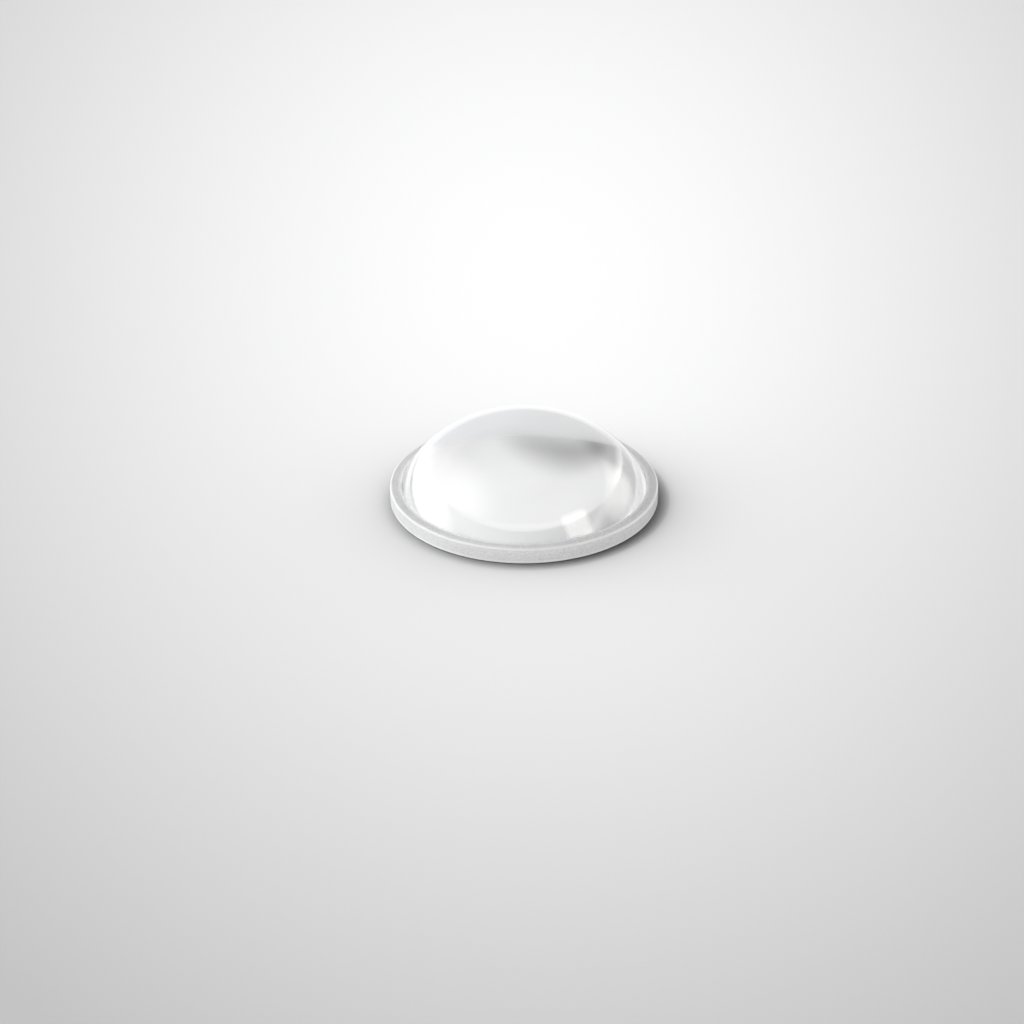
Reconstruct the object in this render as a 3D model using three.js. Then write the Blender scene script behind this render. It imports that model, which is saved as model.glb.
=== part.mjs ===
// A clear self-adhesive bumper for a cabinet door: a low dome on a thin round flange, moulded in one piece.
// Millimetres, +Z up. The origin is the middle of the flat underside, which sticks to the door.
import * as THREE from "three";

// Driving sizes
const domeDiameter = 9.23; // where the dome's curve meets the top of the flange
const domeHeight = 2.52; // from the top of the flange to the crown
const ledgeWidth = 0.385; // flat ring of the flange that shows around the dome
const flangeThickness = 0.6;
const flangeTopRadius = 0.07; // rounded upper edge of the flange
const flangeBottomRadius = 0.05; // rounded lower edge of the flange
const footRadius = 0.06; // hollow fillet where the dome meets the flange

// The dome's profile is the top of an ellipse. A share of 1 is a half ellipse, which meets the flange upright,
// and a small share is a shallow cap.
const ellipseShare = 0.553;

// Fineness of the facets
const segmentsAround = 96;
const edgeSteps = 4;
const footSteps = 4;
const domeSteps = 18;

const QUARTER_TURN = Math.PI / 2;
const HALVINGS = 40; // enough to settle an angle to the last digit that matters

/** The dome's ellipse in the profile plane: its half width, half height and the height of its centre. */
function domeEllipse() {
  const halfHeight = domeHeight / ellipseShare;
  const centreShare = 1 - ellipseShare;
  return {
    halfWidth: domeDiameter / 2 / Math.sqrt(1 - centreShare ** 2),
    halfHeight,
    centreHeight: flangeThickness + domeHeight - halfHeight,
  };
}

/** The centre of a fillet that touches the ellipse from outside, at the ellipse's own angle. */
function filletCentre(ellipse, angle) {
  const normal = new THREE.Vector2(
    Math.cos(angle) / ellipse.halfWidth,
    Math.sin(angle) / ellipse.halfHeight,
  ).normalize();
  return new THREE.Vector2(
    ellipse.halfWidth * Math.cos(angle),
    ellipse.centreHeight + ellipse.halfHeight * Math.sin(angle),
  ).addScaledVector(normal, footRadius);
}

/** The ellipse's angle where the foot fillet also rests on the flange, found by halving the interval. */
function footAngle(ellipse) {
  const restHeight = flangeThickness + footRadius;
  let low = 0;
  let high = QUARTER_TURN;
  for (let halving = 0; halving < HALVINGS; halving += 1) {
    const middle = (low + high) / 2;
    if (filletCentre(ellipse, middle).y < restHeight) {
      low = middle;
    } else {
      high = middle;
    }
  }
  return (low + high) / 2;
}

/** Points along an arc of a circle or an ellipse, from one angle to the other. */
function arcPoints(centre, halfWidth, halfHeight, from, to, steps) {
  const clockwise = to < from;
  const arc = new THREE.EllipseCurve(centre.x, centre.y, halfWidth, halfHeight, from, to, clockwise);
  return arc.getPoints(steps);
}

/** The flange's edge, from its underside up to its flat ledge. */
function flangeEdge(flangeRadius) {
  const bottomCentre = new THREE.Vector2(flangeRadius - flangeBottomRadius, flangeBottomRadius);
  const topCentre = new THREE.Vector2(flangeRadius - flangeTopRadius, flangeThickness - flangeTopRadius);
  return [
    ...arcPoints(bottomCentre, flangeBottomRadius, flangeBottomRadius, -QUARTER_TURN, 0, edgeSteps),
    ...arcPoints(topCentre, flangeTopRadius, flangeTopRadius, 0, QUARTER_TURN, edgeSteps),
  ];
}

/** The hollow fillet at the dome's foot, then the dome itself up to its crown. */
function domeRise() {
  const ellipse = domeEllipse();
  const start = footAngle(ellipse);
  const fillet = filletCentre(ellipse, start);
  const slope = Math.atan2(Math.sin(start) / ellipse.halfHeight, Math.cos(start) / ellipse.halfWidth);
  const centre = new THREE.Vector2(0, ellipse.centreHeight);
  const foot = arcPoints(fillet, footRadius, footRadius, -QUARTER_TURN, slope - Math.PI, footSteps);
  const dome = arcPoints(centre, ellipse.halfWidth, ellipse.halfHeight, start, QUARTER_TURN, domeSteps);
  return [...foot, ...dome.slice(1)];
}

/** The half section, from the middle of the underside round to the crown. Both ends lie on the axis. */
function bumperProfile() {
  const flangeRadius = domeDiameter / 2 + ledgeWidth;
  const crown = new THREE.Vector2(0, flangeThickness + domeHeight);
  return [new THREE.Vector2(0, 0), ...flangeEdge(flangeRadius), ...domeRise().slice(0, -1), crown];
}

const clearPolyurethane = new THREE.MeshStandardMaterial({
  color: 0xf2f4f4,
  roughness: 0.12,
  metalness: 0,
  transparent: true,
  opacity: 0.55,
});

const bumper = new THREE.Mesh(new THREE.LatheGeometry(bumperProfile(), segmentsAround), clearPolyurethane);
bumper.name = "bumper";
bumper.rotation.x = QUARTER_TURN; // the lathe turns its profile about Y, and the part stands on Z

const part = new THREE.Group();
part.add(bumper);

export default part;
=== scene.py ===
"""A clear self-adhesive bumper for a cabinet door, on a pale floor under soft studio light.

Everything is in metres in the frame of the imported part: +Z up, with the origin at the middle of the
underside. The bumper is one moulding, a surface of revolution, so one piece stands for the part's one node.
"""

import logging
import math
from dataclasses import dataclass, field
from enum import Enum

import bpy
import numpy as np
from mathutils import Matrix, Vector


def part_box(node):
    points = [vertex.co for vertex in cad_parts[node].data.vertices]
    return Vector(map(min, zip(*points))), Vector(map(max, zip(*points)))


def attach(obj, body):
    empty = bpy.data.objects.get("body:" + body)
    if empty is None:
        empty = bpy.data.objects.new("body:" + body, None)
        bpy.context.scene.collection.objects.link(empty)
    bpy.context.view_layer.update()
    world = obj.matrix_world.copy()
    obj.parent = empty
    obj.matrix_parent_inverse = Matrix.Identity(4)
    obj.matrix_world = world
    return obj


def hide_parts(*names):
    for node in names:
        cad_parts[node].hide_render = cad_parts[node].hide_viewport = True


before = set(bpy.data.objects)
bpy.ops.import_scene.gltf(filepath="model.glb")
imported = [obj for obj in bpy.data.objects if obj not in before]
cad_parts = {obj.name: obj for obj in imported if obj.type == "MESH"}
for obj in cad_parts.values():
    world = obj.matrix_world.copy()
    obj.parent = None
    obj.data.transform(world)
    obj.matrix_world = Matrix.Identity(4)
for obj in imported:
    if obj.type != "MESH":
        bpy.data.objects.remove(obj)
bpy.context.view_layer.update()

MM = 0.001
BODY = "root"
NODE = "bumper"
SLOT = "clear_polyurethane"
QUARTER_TURN = math.pi / 2
BOUNCES = 20  # light goes round inside the clear flange many times before it leaves

log = logging.getLogger("bumper")


# Shader graphs


class Sum(Enum):
    """The Math node operations that the finishes use."""

    ADD = "ADD"
    SUBTRACT = "SUBTRACT"
    MULTIPLY = "MULTIPLY"
    DIVIDE = "DIVIDE"
    MAXIMUM = "MAXIMUM"
    LOGARITHM = "LOGARITHM"
    SQUARE_ROOT = "SQRT"


class Wire:
    """A number that a shader works out at each point, for use in Python arithmetic."""

    def __init__(self, graph: "Graph", socket: bpy.types.NodeSocket) -> None:
        """Wrap one output socket.

        Args:
            graph: The node tree that the socket belongs to.
            socket: The output that carries the number.
        """
        self.graph = graph
        self.socket = socket

    def __add__(self, other: "Wire | float") -> "Wire":
        """This plus the other."""
        return self.graph.sum(Sum.ADD, self, other)

    def __sub__(self, other: "Wire | float") -> "Wire":
        """This minus the other."""
        return self.graph.sum(Sum.SUBTRACT, self, other)

    def __rsub__(self, other: float) -> "Wire":
        """The other minus this."""
        return self.graph.sum(Sum.SUBTRACT, other, self)

    def __mul__(self, other: "Wire | float") -> "Wire":
        """This times the other."""
        return self.graph.sum(Sum.MULTIPLY, self, other)

    def __truediv__(self, other: "Wire | float") -> "Wire":
        """This divided by the other."""
        return self.graph.sum(Sum.DIVIDE, self, other)

    def __rtruediv__(self, other: float) -> "Wire":
        """The other divided by this."""
        return self.graph.sum(Sum.DIVIDE, other, self)

    __radd__ = __add__
    __rmul__ = __mul__

    def root(self) -> "Wire":
        """Its square root."""
        return self.graph.sum(Sum.SQUARE_ROOT, self)

    def log(self) -> "Wire":
        """Its natural logarithm."""
        return self.graph.sum(Sum.LOGARITHM, self, math.e)

    def at_least(self, floor: float) -> "Wire":
        """This, or the floor where this is lower."""
        return self.graph.sum(Sum.MAXIMUM, self, floor)

    def step(self, low: float, high: float) -> "Wire":
        """A smooth step from 0 at low to 1 at high, which may be the lower number of the two.

        Args:
            low: Where the step is 0.
            high: Where the step is 1.

        Returns:
            3 t squared minus 2 t cubed, where t runs from 0 to 1 between low and high.
        """
        ranged = self.graph.node(
            "ShaderNodeMapRange",
            {"interpolation_type": "SMOOTHSTEP"},
            {"Value": self, "From Min": low, "From Max": high},
        )
        return Wire(self.graph, ranged.outputs["Result"])


Value = Wire | bpy.types.NodeSocket | float | tuple


class Graph:
    """The node tree of a material or of the world."""

    def __init__(self, tree: bpy.types.NodeTree) -> None:
        """Empty the tree, ready for its own nodes.

        Args:
            tree: The tree of a material or world that uses nodes.
        """
        tree.nodes.clear()
        self.tree = tree

    def node(
        self,
        kind: str,
        settings: dict[str, object] | None = None,
        values: dict[str | int, Value] | None = None,
    ) -> bpy.types.Node:
        """Add a node of any type.

        Args:
            kind: The node's type, such as ShaderNodeMath.
            settings: The node's own settings, which are set first.
            values: What each input socket holds, by its name or number: a wire, a socket to link, or a value.

        Returns:
            The new node.
        """
        made = self.tree.nodes.new(kind)
        for name, setting in (settings or {}).items():
            setattr(made, name, setting)
        for key, value in (values or {}).items():
            if isinstance(value, Wire):
                value = value.socket
            if isinstance(value, bpy.types.NodeSocket):
                self.tree.links.new(value, made.inputs[key])
            else:
                made.inputs[key].default_value = value
        return made

    def sum(self, operation: Sum, *numbers: "Wire | float") -> Wire:
        """Add a Math node.

        Args:
            operation: What the node works out.
            numbers: Its inputs in order.

        Returns:
            The node's result.
        """
        made = self.node("ShaderNodeMath", {"operation": operation.value}, dict(enumerate(numbers)))
        return Wire(self, made.outputs[0])

    def place(self, output: str = "Object") -> tuple[Wire, Wire, Wire]:
        """The three coordinates of the shaded point.

        Args:
            output: Which output of Texture Coordinate to read.

        Returns:
            X, Y and Z.
        """
        coordinate = self.node("ShaderNodeTexCoord")
        parts = self.node("ShaderNodeSeparateXYZ", None, {0: coordinate.outputs[output]})
        return Wire(self, parts.outputs[0]), Wire(self, parts.outputs[1]), Wire(self, parts.outputs[2])

    def noise(self, coordinate: bpy.types.NodeSocket, width: float, detail: float) -> Wire:
        """Soft noise between 0 and 1.

        Args:
            coordinate: Where it is read.
            width: How wide one cloud of it is.
            detail: How many finer layers it has.

        Returns:
            The noise.
        """
        made = self.node(
            "ShaderNodeTexNoise",
            None,
            {"Vector": coordinate, "Scale": 1 / width, "Detail": detail},
        )
        return Wire(self, made.outputs["Fac"])

    def grey(self, number: Wire) -> bpy.types.NodeSocket:
        """A neutral colour of that brightness."""
        return self.node("ShaderNodeCombineColor", None, {0: number, 1: number, 2: number}).outputs[0]

    def blend(self, factor: Wire, dark: Value, light: Value) -> bpy.types.NodeSocket:
        """A colour that goes from one to another.

        Args:
            factor: 0 for the first colour and 1 for the second.
            dark: The first colour.
            light: The second colour.

        Returns:
            The mixed colour.
        """
        mixed = self.node(
            "ShaderNodeMix",
            {"data_type": "RGBA"},
            {"Factor": factor, 6: dark, 7: light},
        )
        return mixed.outputs[2]

    def mix_shaders(self, factor: Wire, first: bpy.types.Node, second: bpy.types.Node) -> bpy.types.Node:
        """Lay one shader over another.

        Args:
            factor: 0 for the first shader and 1 for the second.
            first: The node of the first shader.
            second: The node of the second shader.

        Returns:
            The mixing node.
        """
        return self.node("ShaderNodeMixShader", None, {0: factor, 1: first.outputs[0], 2: second.outputs[0]})


def new_material(name: str) -> tuple[bpy.types.Material, Graph]:
    """Make an empty node material.

    Args:
        name: The material's name.

    Returns:
        The material and its graph.
    """
    material = bpy.data.materials.new(name)
    material.use_nodes = True
    return material, Graph(material.node_tree)


# Surfaces


def arc(
    centre: tuple[float, float],
    half: tuple[float, float],
    start: float,
    end: float,
    steps: int,
) -> np.ndarray:
    """Points on a circle or an ellipse.

    The point at an angle is the centre plus half width times its cosine and half height times its sine.

    Args:
        centre: Radius and height of the arc's centre.
        half: Half width and half height.
        start: First angle.
        end: Last angle.
        steps: How many steps the arc has.

    Returns:
        One row of radius and height for each point.
    """
    angle = np.linspace(start, end, steps + 1)
    return np.stack([centre[0] + half[0] * np.cos(angle), centre[1] + half[1] * np.sin(angle)], axis=1)


def straight(start: tuple[float, float], end: tuple[float, float], steps: int) -> np.ndarray:
    """Points between the ends of a straight stretch, without the ends themselves.

    The share along it is half of one minus the cosine of half a turn's share, so the points crowd towards
    both ends, and smooth shading keeps the stretch flat.

    Args:
        start: Radius and height of the first end.
        end: Radius and height of the second end.
        steps: How many steps the stretch has.

    Returns:
        One row of radius and height for each point.
    """
    share = (1 - np.cos(np.linspace(0, math.pi, steps + 1)[1:-1])) / 2
    return np.array(start) + share[:, None] * (np.array(end) - np.array(start))


def revolve(name: str, profile: np.ndarray, around: int) -> bpy.types.Object:
    """Turn a profile about Z into a closed mesh.

    A point of radius r and height z goes to r cos a, r sin a and z at each angle a.

    Args:
        name: The piece's name.
        profile: Rows of radius and height. The first and last lie on the axis, and it runs up the outside.
        around: How many facets the turn has.

    Returns:
        The object, with smooth faces that point outwards.
    """
    turn = np.arange(around) * (2 * math.pi / around)
    radius, height = profile[1:-1, 0, None], profile[1:-1, 1, None]
    rings = np.stack([radius * np.cos(turn), radius * np.sin(turn), height + 0 * turn], axis=2)
    poles = [[0, 0, profile[0, 1]], [0, 0, profile[-1, 1]]]
    vertices = np.concatenate([rings.reshape(-1, 3), poles])
    number = np.arange(len(rings) * around).reshape(len(rings), around)
    beside = np.roll(number, -1, axis=1)
    walls = np.stack([number[:-1], beside[:-1], beside[1:], number[1:]], axis=2).reshape(-1, 4)
    low_pole, high_pole = number.size, number.size + 1
    floor = np.stack([beside[0], number[0], np.full(around, low_pole)], axis=1)
    crown = np.stack([number[-1], beside[-1], np.full(around, high_pole)], axis=1)
    mesh = bpy.data.meshes.new(name)
    mesh.from_pydata(vertices.tolist(), [], walls.tolist() + floor.tolist() + crown.tolist())
    mesh.polygons.foreach_set("use_smooth", np.ones(len(mesh.polygons), dtype=bool))
    mesh.update()
    piece = bpy.data.objects.new(name, mesh)
    bpy.context.scene.collection.objects.link(piece)
    return piece


# Finishes


@dataclass(frozen=True)
class ClearPolyurethane:
    """Clear cast polyurethane: a glossy dome, and a flange with the satin skin of its mould."""

    refraction: float = 1.55
    tint: tuple[float, float, float, float] = (0.998, 1.0, 1.0, 1)
    cloud: tuple[float, float, float, float] = (0.985, 0.99, 0.995, 1)
    cloud_width: float = 2.2 * MM
    cloud_detail: float = 2.0
    gloss: float = 0.07
    satin: float = 0.5
    skin_share: float = 0.6
    skin: tuple[float, float, float, float] = (0.82, 0.82, 0.82, 1)
    skin_shade: tuple[float, float, float, float] = (0.58, 0.58, 0.58, 1)
    # The colour of the painted highlights on the flange's rounded edges and in a line round the foot.
    edge: tuple[float, float, float, float] = (0.98, 0.98, 0.98, 1)
    edge_highlight_width: float = 0.09 * MM
    shade: tuple[float, float, float, float] = (0.03, 0.03, 0.03, 1)
    grain_width: float = 0.045 * MM
    grain_detail: float = 1.0
    grain_height: float = 0.001 * MM
    grain_low: float = 0.35
    grain_high: float = 0.65

    def build(self, foot: float, blend_width: float, rim: float, top: float) -> bpy.types.Material:
        """Make the material.

        The dome is clear with a high gloss, and its tint drifts between two tones in wide, faint clouds.
        Outside the foot a satin skin that scatters light lies over the clear body and takes skin_share of it.
        The skin's colour and height follow one fine grain, and painted highlights make it paler on the
        flange's two rounded edges and in a line round the foot. Light that the floor scatters meets a dark
        body, so the shadow is a full one.

        Args:
            foot: Where the dome meets the flange, from the axis.
            blend_width: How far the gloss takes to fade to satin.
            rim: The flange's radius.
            top: The flange's thickness.

        Returns:
            The finished material.
        """
        material, graph = new_material(SLOT)
        x, y, z = graph.place()
        radius = (x * x + y * y).root()
        satin = radius.step(foot, foot + blend_width)
        # Painted highlights: the skin turns pale on the flange's top and bottom rounded edges and round the
        # foot.
        half = self.edge_highlight_width / 2
        upper = radius.step(rim - self.edge_highlight_width, rim - half) * z.step(top - self.edge_highlight_width, top - half)
        lower = z.step(self.edge_highlight_width + half, self.edge_highlight_width)
        inner = radius.step(foot + blend_width + half, foot + blend_width)
        edges = (upper + lower + inner) * satin
        coordinate = graph.node("ShaderNodeTexCoord").outputs["Object"]
        clouds = graph.noise(coordinate, self.cloud_width, self.cloud_detail)
        grain = graph.noise(coordinate, self.grain_width, self.grain_detail)
        grain = grain.step(self.grain_low, self.grain_high)
        bump = graph.node("ShaderNodeBump", None, {"Height": grain * satin, "Distance": self.grain_height})
        outside = 1 - Wire(graph, graph.node("ShaderNodeNewGeometry").outputs["Backfacing"])
        clear = graph.node(
            "ShaderNodeBsdfPrincipled",
            None,
            {
                "Base Color": graph.blend(clouds, self.cloud, self.tint),
                "Roughness": self.gloss + satin * outside * (self.satin - self.gloss),
                "IOR": self.refraction,
                "Transmission Weight": 1.0,
                "Normal": bump.outputs[0],
            },
        )
        skin = graph.node(
            "ShaderNodeBsdfPrincipled",
            None,
            {
                "Base Color": graph.blend(edges, graph.blend(grain, self.skin_shade, self.skin), self.edge),
                "Roughness": self.satin,
                "IOR": self.refraction,
                "Normal": bump.outputs[0],
            },
        )
        seen = graph.mix_shaders(satin * outside * self.skin_share, clear, skin)
        shading = Wire(graph, graph.node("ShaderNodeLightPath").outputs["Is Diffuse Ray"])
        shade = graph.node("ShaderNodeBsdfDiffuse", None, {"Color": self.shade})
        both = graph.mix_shaders(shading, seen, shade)
        graph.node("ShaderNodeOutputMaterial", None, {"Surface": both.outputs[0]})
        return material


@dataclass(frozen=True)
class FloorPaint:
    """Pale matt paint with painted light, brightest behind the bumper and greyer towards the edges.

    The bumper doesn't show this paint. It shows plain tones, fitted to what the photograph has in the dome.
    """

    # Where the painted light on the floor is brightest and how far it spreads.
    light_pool_x: float = 0.45 * MM
    light_pool_y: float = 16.4 * MM
    light_pool_width: float = 16.44 * MM
    light_pool_depth: float = 35.2 * MM
    recession: float = 122.1 * MM
    least_recession: float = 0.1
    brightest: float = 1.0
    fall: float = 0.285
    darkest: float = 0.55
    # Painted shade of the floor under the part, as the dome shows it.
    under_shade_left: tuple[float, float, float, float] = (0.80, 0.81, 0.83, 1)
    under_shade_right: tuple[float, float, float, float] = (0.65, 0.65, 0.65, 1)
    open_floor: tuple[float, float, float, float] = (1.0, 1.0, 1.0, 1)
    mirrored_floor: tuple[float, float, float, float] = (1.3, 1.3, 1.3, 1)
    mirrored_shadow: tuple[float, float, float, float] = (0.4, 0.4, 0.4, 1)
    shadow_near: float = 5.5 * MM
    shadow_far: float = 10 * MM
    deep_left: tuple[float, float, float, float] = (0.55, 0.55, 0.55, 1)
    deep_right: tuple[float, float, float, float] = (0.92, 0.92, 0.92, 1)
    deep_width: float = 0.35 * MM
    deep_from: float = 2.5
    deep_full: float = 3.5
    under_width: float = 3 * MM
    under_radius: float = 4.7 * MM
    under_blend: float = 0.4 * MM
    # The painted contact shadow: how far it reaches, its samples, and the side it leans towards.
    contact_shadow_width: float = 0.5 * MM
    contact_shadow_samples: int = 2
    contact_shadow_side: tuple[float, float, float] = (-0.60, 0.35, 0.72)

    def build(self) -> bpy.types.Material:
        """Make the material.

        The paint's brightness is painted light: the brightest less fall times the logarithm of one plus r
        squared, and never less than the darkest. r is the distance from light_pool_x and light_pool_y in
        light_pool_width and light_pool_depth, after both coordinates are divided by one plus y over the
        recession. Where something within contact_shadow_width stands in the way towards contact_shadow_side,
        a painted contact shadow makes the paint darker by the share that it hides.

        What shows in the bumper is a plain tone. Beyond under_radius a reflection sees mirrored_floor and a
        refracted ray sees open_floor, and close to the flange on its right both see mirrored_shadow. Under
        the part the tone is painted shade, from under_shade_left to under_shade_right, or from deep_left to
        deep_right for a ray whose depth is past deep_from, which has gone round inside the body.

        Returns:
            The finished material.
        """
        material, graph = new_material("floor_paint")
        x, y, _ = graph.place()
        # Painted light: brightest behind the bumper and greyer further off.
        near = 1 / (y / self.recession + 1).at_least(self.least_recession)
        across = (x * near - self.light_pool_x) / self.light_pool_width
        along = (y * near - self.light_pool_y) / self.light_pool_depth
        spread = (across * across + along * along + 1).log()
        light_pool = (self.brightest - spread * self.fall).at_least(self.darkest)
        # Painted contact shadow: the paint grows darker where the bumper blocks the way towards the tilted
        # side.
        facing = graph.node("ShaderNodeCombineXYZ", None, dict(enumerate(self.contact_shadow_side)))
        contact_shadow = graph.node(
            "ShaderNodeAmbientOcclusion",
            {"samples": self.contact_shadow_samples},
            {"Distance": self.contact_shadow_width, "Normal": facing.outputs[0]},
        )
        open_share = Wire(graph, contact_shadow.outputs["AO"])
        paint = graph.node("ShaderNodeBsdfDiffuse", None, {"Color": graph.grey(light_pool * open_share)})
        side = x.step(-self.under_width, self.under_width)
        radius = (x * x + y * y).root()
        outside = radius.step(self.under_radius, self.under_radius + self.under_blend)
        # Painted shade of the floor under the part, as rays through the dome see it.
        deep = graph.blend(x.step(-self.deep_width, self.deep_width), self.deep_left, self.deep_right)
        under = graph.blend(side, self.under_shade_left, self.under_shade_right)
        path = graph.node("ShaderNodeLightPath").outputs
        gone_round = Wire(graph, path["Ray Depth"]).step(self.deep_from, self.deep_full)
        under = graph.blend(gone_round, under, deep)
        refracted = Wire(graph, path["Is Transmission Ray"])
        shadow = x.step(0.0, self.under_radius) * radius.step(self.shadow_far, self.shadow_near)
        bright = graph.blend(refracted, self.mirrored_floor, self.open_floor)
        beyond = graph.blend(shadow, bright, self.mirrored_shadow)
        shown = graph.node("ShaderNodeEmission", None, {"Color": graph.blend(outside, under, beyond)})
        in_bumper = Wire(graph, path["Is Glossy Ray"]) + refracted
        both = graph.mix_shaders(in_bumper, paint, shown)
        graph.node("ShaderNodeOutputMaterial", None, {"Surface": both.outputs[0]})
        material.cycles.emission_sampling = "NONE"
        return material


# The bumper


@dataclass
class Bumper:
    """The whole part: a low dome on a thin round flange with a flat underside."""

    flange_radius: float
    height: float
    ledge_width: float = 0.385 * MM
    flange_thickness: float = 0.6 * MM
    flange_top_radius: float = 0.07 * MM
    flange_bottom_radius: float = 0.05 * MM
    foot_radius: float = 0.06 * MM
    ellipse_share: float = 0.553
    around: int = 256
    underside_steps: int = 24
    edge_steps: int = 8
    flat_steps: int = 12
    dome_steps: int = 96
    angle_steps: int = 200_000
    finish: ClearPolyurethane = field(default_factory=ClearPolyurethane)

    @classmethod
    def from_frame(cls) -> "Bumper":
        """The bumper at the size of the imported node."""
        low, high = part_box(NODE)
        return cls(flange_radius=(high.x - low.x) / 2, height=high.z - low.z)

    @property
    def dome_radius(self) -> float:
        """Where the dome's curve meets the top of the flange."""
        return self.flange_radius - self.ledge_width

    def ellipse(self) -> tuple[float, float, float]:
        """The ellipse whose top is the dome's profile.

        Its half height is the dome's height over ellipse_share. Its half width makes it pass through the
        dome's radius at the top of the flange.

        Returns:
            Half width, half height and the height of the centre.
        """
        half_height = (self.height - self.flange_thickness) / self.ellipse_share
        half_width = self.dome_radius / math.sqrt(1 - (1 - self.ellipse_share) ** 2)
        return half_width, half_height, self.height - half_height

    def foot(self) -> tuple[float, float, float, float]:
        """The hollow fillet where the dome meets the flange.

        Its circle touches the ellipse from outside and rests on the flange. The ellipse's angle there is the
        one at which a circle's centre stands one fillet radius above the flange.

        Returns:
            The centre's radius and height, the dome's first angle, and the slope of the dome's normal there.
        """
        half_width, half_height, centre = self.ellipse()
        angle = np.linspace(0, QUARTER_TURN, self.angle_steps + 1)
        normal = np.stack([np.cos(angle) / half_width, np.sin(angle) / half_height])
        normal /= np.linalg.norm(normal, axis=0)
        radius = half_width * np.cos(angle) + self.foot_radius * normal[0]
        height = centre + half_height * np.sin(angle) + self.foot_radius * normal[1]
        found = int(np.searchsorted(height, self.flange_thickness + self.foot_radius))
        slope = math.atan2(normal[1, found], normal[0, found])
        return float(radius[found]), float(height[found]), float(angle[found]), slope

    def profile(self) -> np.ndarray:
        """The half section, from the middle of the underside round to the crown.

        Returns:
            Rows of radius and height.
        """
        side = self.flange_radius
        top = self.flange_thickness
        bottom_round = self.flange_bottom_radius
        top_round = self.flange_top_radius
        foot_round = self.foot_radius
        half_width, half_height, centre = self.ellipse()
        foot_x, foot_z, first, slope = self.foot()
        stretches = [
            [(0.0, 0.0)],
            straight((0, 0), (side - bottom_round, 0), self.underside_steps),
            arc((side - bottom_round, bottom_round), (bottom_round,) * 2, -QUARTER_TURN, 0, self.edge_steps),
            straight((side, bottom_round), (side, top - top_round), self.flat_steps),
            arc((side - top_round, top - top_round), (top_round,) * 2, 0, QUARTER_TURN, self.edge_steps),
            straight((side - top_round, top), (foot_x, top), self.flat_steps),
            arc((foot_x, foot_z), (foot_round,) * 2, -QUARTER_TURN, slope - math.pi, self.edge_steps),
            arc((0, centre), (half_width, half_height), first, QUARTER_TURN, self.dome_steps)[1:-1],
            [(0.0, self.height)],
        ]
        return np.concatenate([np.asarray(stretch, float) for stretch in stretches])

    def build(self) -> bpy.types.Object:
        """Make the piece, seat it in place of its node and dress it.

        Returns:
            The finished piece.
        """
        piece = revolve("clear_bumper", self.profile(), self.around)
        foot = self.dome_radius - self.foot_radius
        gloss_fade = 2 * self.foot_radius
        finish = self.finish.build(foot, gloss_fade, self.flange_radius, self.flange_thickness)
        piece.data.materials.append(finish)
        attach(piece, BODY)
        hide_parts(NODE)
        return piece


# The studio


@dataclass
class Floor:
    """A plain pale floor, a hair below the bumper so that the two faces don't share a plane."""

    half_width: float = 400 * MM
    gap: float = 0.02 * MM
    paint: FloorPaint = field(default_factory=FloorPaint)

    def build(self) -> bpy.types.Object:
        """Make the floor.

        Returns:
            The floor.
        """
        edge = self.half_width
        corners = [(-edge, -edge), (edge, -edge), (edge, edge), (-edge, edge)]
        mesh = bpy.data.meshes.new("floor")
        mesh.from_pydata([(x, y, -self.gap) for x, y in corners], [], [(0, 1, 2, 3)])
        mesh.materials.append(self.paint.build())
        floor = bpy.data.objects.new("floor", mesh)
        bpy.context.scene.collection.objects.link(floor)
        return floor


def towards(azimuth: float, elevation: float) -> Vector:
    """The direction at an azimuth and an elevation in degrees.

    Azimuth 0 is beyond the bumper, and 90 is to the right.

    Args:
        azimuth: The angle round the bumper.
        elevation: The angle above the floor.

    Returns:
        Sine and cosine of the azimuth times the cosine of the elevation, then the sine of the elevation.
    """
    around, above = math.radians(azimuth), math.radians(elevation)
    return Vector((math.sin(around) * math.cos(above), math.cos(around) * math.cos(above), math.sin(above)))


@dataclass(frozen=True)
class Panel:
    """A soft round patch of the room that is brighter or darker than the rest."""

    azimuth: float
    elevation: float
    inner: float
    outer: float
    level: float

    def light(self, direction: tuple[Wire, Wire, Wire]) -> Wire:
        """How much the panel adds to the room's brightness.

        It is the level out to the inner angle from the middle, and falls smoothly to nothing at the outer
        angle.

        Args:
            direction: X, Y and Z of the direction that is looked in.

        Returns:
            The level times the smooth step of the cosine of the angle from the panel's middle.
        """
        middle = towards(self.azimuth, self.elevation)
        closeness = sum(part * along for part, along in zip(direction, middle))
        outer, inner = (math.cos(math.radians(angle)) for angle in (self.outer, self.inner))
        return closeness.step(outer, inner) * self.level


@dataclass(frozen=True)
class Brightness:
    """How bright the room is in each direction: an even slope, and soft panels on it."""

    base: float
    side: float
    beyond: float
    up: float
    panels: tuple[Panel, ...]

    def level(self, direction: tuple[Wire, Wire, Wire]) -> Wire:
        """The brightness in a direction.

        It is the base, plus side, beyond and up times the direction's X, Y and Z, plus what the panels add,
        and never less than nothing.

        Args:
            direction: X, Y and Z of the direction that is looked in.

        Returns:
            The brightness, where 1 is white.
        """
        slope = sum(part * share for part, share in zip(direction, (self.side, self.beyond, self.up)))
        return sum((panel.light(direction) for panel in self.panels), slope + self.base).at_least(0.0)


# The light on the set, fitted to the shadow in the photograph. Its mean is 1, weighted as the floor takes it.
LIGHTING = Brightness(
    base=1.656,
    side=0.681,
    beyond=0.728,
    up=-1.873,
    panels=(Panel(azimuth=-81, elevation=17, inner=28, outer=60, level=2.88),),
)
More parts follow.
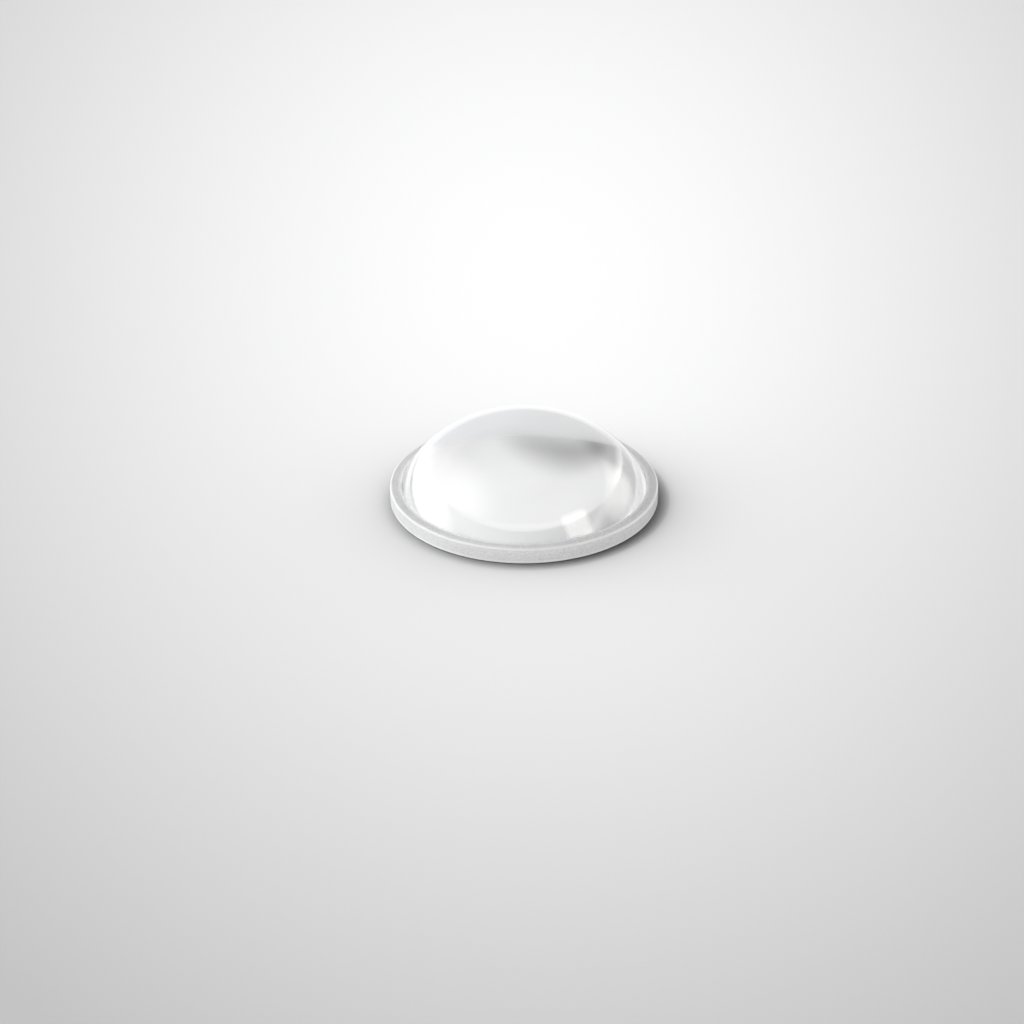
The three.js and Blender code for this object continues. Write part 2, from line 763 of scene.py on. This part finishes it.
# What the clear body shows of the room, fitted to the tones of the dome in the photograph.
SURROUNDINGS = Brightness(
    base=0.688,
    side=0.048,
    beyond=0.226,
    up=-0.061,
    panels=(
        Panel(azimuth=-44, elevation=73, inner=14.5, outer=38, level=0.51),
        Panel(azimuth=-24, elevation=51, inner=3, outer=27.5, level=-0.45),
        Panel(azimuth=-64, elevation=37, inner=3, outer=30, level=-0.41),
        Panel(azimuth=104, elevation=17, inner=10, outer=55.5, level=0.51),
        Panel(azimuth=-69, elevation=6, inner=3, outer=28.5, level=0.55),
        Panel(azimuth=-113, elevation=47, inner=5, outer=38, level=0.30),
        Panel(azimuth=38, elevation=11, inner=5, outer=30, level=0.18),
        Panel(azimuth=-108, elevation=27, inner=5, outer=24, level=-0.22),
    ),
)


@dataclass(frozen=True)
class Window:
    """A four-sided window with soft edges, seen as a reflection."""

    azimuth: float
    elevation: float
    width: float
    height: float
    level: float
    turn: float = 0.0
    soft: float = 0.25
    least_depth: float = 0.05

    def light(self, direction: tuple[Wire, Wire, Wire]) -> Wire:
        """How much the window adds to the room's brightness.

        The direction is projected onto the plane that faces the window's middle. Its distance across and up
        from the middle is compared with half the width and half the height, each as a square, so both sides
        count. The depth that it is divided by is never less than least_depth, which keeps off the directions
        that point away.

        Args:
            direction: X, Y and Z of the direction that is looked in.

        Returns:
            The level inside the window, with a smooth fall over the soft share of its half size.
        """
        middle = towards(self.azimuth, self.elevation)
        across = middle.cross(Vector((0, 0, 1))).normalized()
        up = across.cross(middle)
        tilt = Matrix.Rotation(math.radians(self.turn), 3, middle)
        depth = sum(part * along for part, along in zip(direction, middle)).at_least(self.least_depth)
        share = 1.0
        for axis, size in ((tilt @ across, self.width), (tilt @ up, self.height)):
            edge = math.tan(math.radians(size / 2))
            off = sum(part * along for part, along in zip(direction, axis)) / depth / edge
            share = (off * off).step((1 + self.soft) ** 2, (1 - self.soft) ** 2) * share
        return share * self.level


WINDOWS = (
    Window(azimuth=125, elevation=34, width=20, height=21, level=5.0, turn=-12, soft=0.35),
    Window(azimuth=69, elevation=21, width=34, height=18, level=2.7, soft=0.6),
)


@dataclass
class Room:
    """The pale room round the set.

    One soft light falls on the set, and a plain room shows in the clear dome.
    """

    lighting: Brightness = LIGHTING
    surroundings: Brightness = SURROUNDINGS
    windows: tuple[Window, ...] = WINDOWS
    daylight: tuple[float, float, float] = (1.0, 0.98, 0.93)
    backdrop: tuple[float, float, float, float] = (0.55, 0.55, 0.55, 1)

    def build(self) -> None:
        """Make the world.

        Rays that leave the clear dome see the surroundings. The windows, in the colour of daylight, show only
        as reflections on its outside. The camera sees a plain backdrop, and all other rays meet the lighting.
        """
        world = bpy.data.worlds.new("room")
        world.use_nodes = True
        bpy.context.scene.world = world
        graph = Graph(world.node_tree)
        direction = graph.place("Generated")
        path = graph.node("ShaderNodeLightPath").outputs
        camera, reflected, refracted = (
            Wire(graph, path[name]) for name in ("Is Camera Ray", "Is Glossy Ray", "Is Transmission Ray")
        )
        daylight = sum(window.light(direction) for window in self.windows) * (1 - refracted)
        plain = self.surroundings.level(direction)
        channels = {number: plain + daylight * share for number, share in enumerate(self.daylight)}
        shown = graph.node("ShaderNodeCombineColor", None, channels).outputs[0]
        colour = graph.blend(reflected + refracted, graph.grey(self.lighting.level(direction)), shown)
        colour = graph.blend(camera, colour, self.backdrop)
        background = graph.node("ShaderNodeBackground", None, {"Color": colour, "Strength": 1.0})
        graph.node("ShaderNodeOutputWorld", None, {"Surface": background.outputs[0]})


@dataclass
class Camera:
    """A long lens at the photograph's angle. The origin lies at origin_pixel in an image 1024 pixels wide."""

    pitch: float = 29.25
    roll: float = -0.29
    distance: float = 106.5 * MM
    lens: float = 100.0
    sensor: float = 36.0
    image: int = 1024
    origin_pixel: tuple[float, float] = (524.07, 496.46)
    clip: tuple[float, float] = (5 * MM, 2.0)

    def build(self) -> bpy.types.Object:
        """Make the camera and give it to the scene.

        Returns:
            The camera's object.
        """
        data = bpy.data.cameras.new("camera")
        data.lens = self.lens
        data.sensor_width = self.sensor
        data.clip_start, data.clip_end = self.clip
        middle = self.image / 2
        focal_pixels = self.lens / self.sensor * self.image
        u, v = self.origin_pixel
        to_origin = Vector((u - middle, middle - v, -focal_pixels)).normalized()
        tilt = Matrix.Rotation(math.radians(90 - self.pitch), 4, "X")
        turn = tilt @ Matrix.Rotation(math.radians(self.roll), 4, "Z")
        away = turn.to_3x3() @ to_origin * -self.distance
        holder = bpy.data.objects.new("camera", data)
        holder.matrix_world = Matrix.Translation(away) @ turn
        bpy.context.scene.collection.objects.link(holder)
        bpy.context.scene.camera = holder
        return holder


def main() -> None:
    """Build the bumper and the studio in order, and report each piece."""
    logging.basicConfig(level=logging.INFO, format="%(name)s: %(message)s")
    bpy.context.scene.view_settings.view_transform = "Standard"
    cycles = bpy.context.scene.cycles
    cycles.max_bounces = cycles.glossy_bounces = cycles.transmission_bounces = BOUNCES
    Camera().build()
    piece = Bumper.from_frame().build()
    log.info("%s has %d faces", piece.name, len(piece.data.polygons))
    Floor().build()
    Room().build()


if __name__ == "__main__":
    main()
